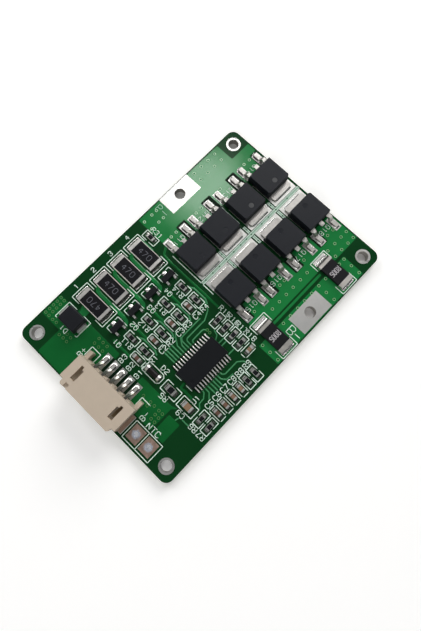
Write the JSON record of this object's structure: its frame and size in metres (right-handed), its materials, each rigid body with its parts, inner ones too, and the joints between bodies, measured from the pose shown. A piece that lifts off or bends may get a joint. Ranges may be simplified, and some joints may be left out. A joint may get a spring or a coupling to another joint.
{
  "type": "battery management board",
  "caption": "Green battery management board with power transistors, shunt and balance resistors, a controller, a side-entry cell-tap socket and plated wire pads.",
  "frame": {"origin": "centre of the four-hole mounting pattern, on the board's underside", "axes": "+X along the long side, away from the cell-tap socket; +Y along the short side, towards the pack terminal pad; +Z out of the component side"},
  "size_m": [0.06, 0.04, 0.0071],
  "materials": {
    "solder_mask": "glossy green solder mask over a fibreglass board",
    "tinned_copper": "tinned copper land",
    "bare_pad_copper": "thinly tinned copper pad with a pink cast",
    "ivory_nylon": "moulded ivory nylon",
    "tin_plated_brass": "tin plate",
    "tinned_lead_frame": "matt tin plate",
    "solder": "bright reflowed solder",
    "chip_terminal_tin": "tin plate",
    "capacitor_ceramic": "brown ceramic",
    "resistor_glaze": "black glaze over white alumina",
    "moulded_epoxy": "charcoal moulding compound"
  },
  "bodies": {
    "root": {"circuit_board": "solder_mask", "mounting_hole_plating": "tinned_copper", "pack_terminal_pad": "tinned_copper", "battery_terminal_pad": "tinned_copper", "thermistor_pads": "bare_pad_copper", "component_lands": "tinned_copper", "socket_housing": "ivory_nylon", "socket_contacts": "tin_plated_brass", "socket_anchors": "tin_plated_brass", "mosfet_1": "moulded_epoxy", "mosfet_2": "moulded_epoxy", "mosfet_3": "moulded_epoxy", "mosfet_4": "moulded_epoxy", "mosfet_5": "moulded_epoxy", "mosfet_6": "moulded_epoxy", "mosfet_7": "moulded_epoxy", "mosfet_8": "moulded_epoxy", "mosfet_lead_frame_1": "tinned_lead_frame", "mosfet_lead_frame_2": "tinned_lead_frame", "mosfet_lead_frame_3": "tinned_lead_frame", "mosfet_lead_frame_4": "tinned_lead_frame", "mosfet_lead_frame_5": "tinned_lead_frame", "mosfet_lead_frame_6": "tinned_lead_frame", "mosfet_lead_frame_7": "tinned_lead_frame", "mosfet_lead_frame_8": "tinned_lead_frame", "controller": "moulded_epoxy", "controller_leads": "tinned_lead_frame", "balance_resistor_1": "resistor_glaze", "balance_resistor_2": "resistor_glaze", "balance_resistor_3": "resistor_glaze", "balance_resistor_4": "resistor_glaze", "balance_resistor_terminals": "chip_terminal_tin", "shunt_resistor_1": "resistor_glaze", "shunt_resistor_2": "resistor_glaze", "shunt_terminals": "chip_terminal_tin", "clamp_diode": "moulded_epoxy", "clamp_diode_tabs": "tinned_lead_frame", "signal_diode": "moulded_epoxy", "signal_diode_caps": "chip_terminal_tin", "balance_transistor_1": "moulded_epoxy", "balance_transistor_2": "moulded_epoxy", "balance_transistor_3": "moulded_epoxy", "balance_transistor_4": "moulded_epoxy", "balance_transistor_leads": "tinned_lead_frame", "bleed_resistors": "resistor_glaze", "filter_resistors": "resistor_glaze", "output_resistors": "resistor_glaze", "gate_resistors": "resistor_glaze", "supply_resistor": "resistor_glaze", "chip_resistor_terminals": "chip_terminal_tin", "filter_capacitors": "capacitor_ceramic", "timing_capacitors": "capacitor_ceramic", "reservoir_capacitor": "capacitor_ceramic", "chip_capacitor_terminals": "chip_terminal_tin", "solder_joints": "solder"}
  },
  "joints": []
}
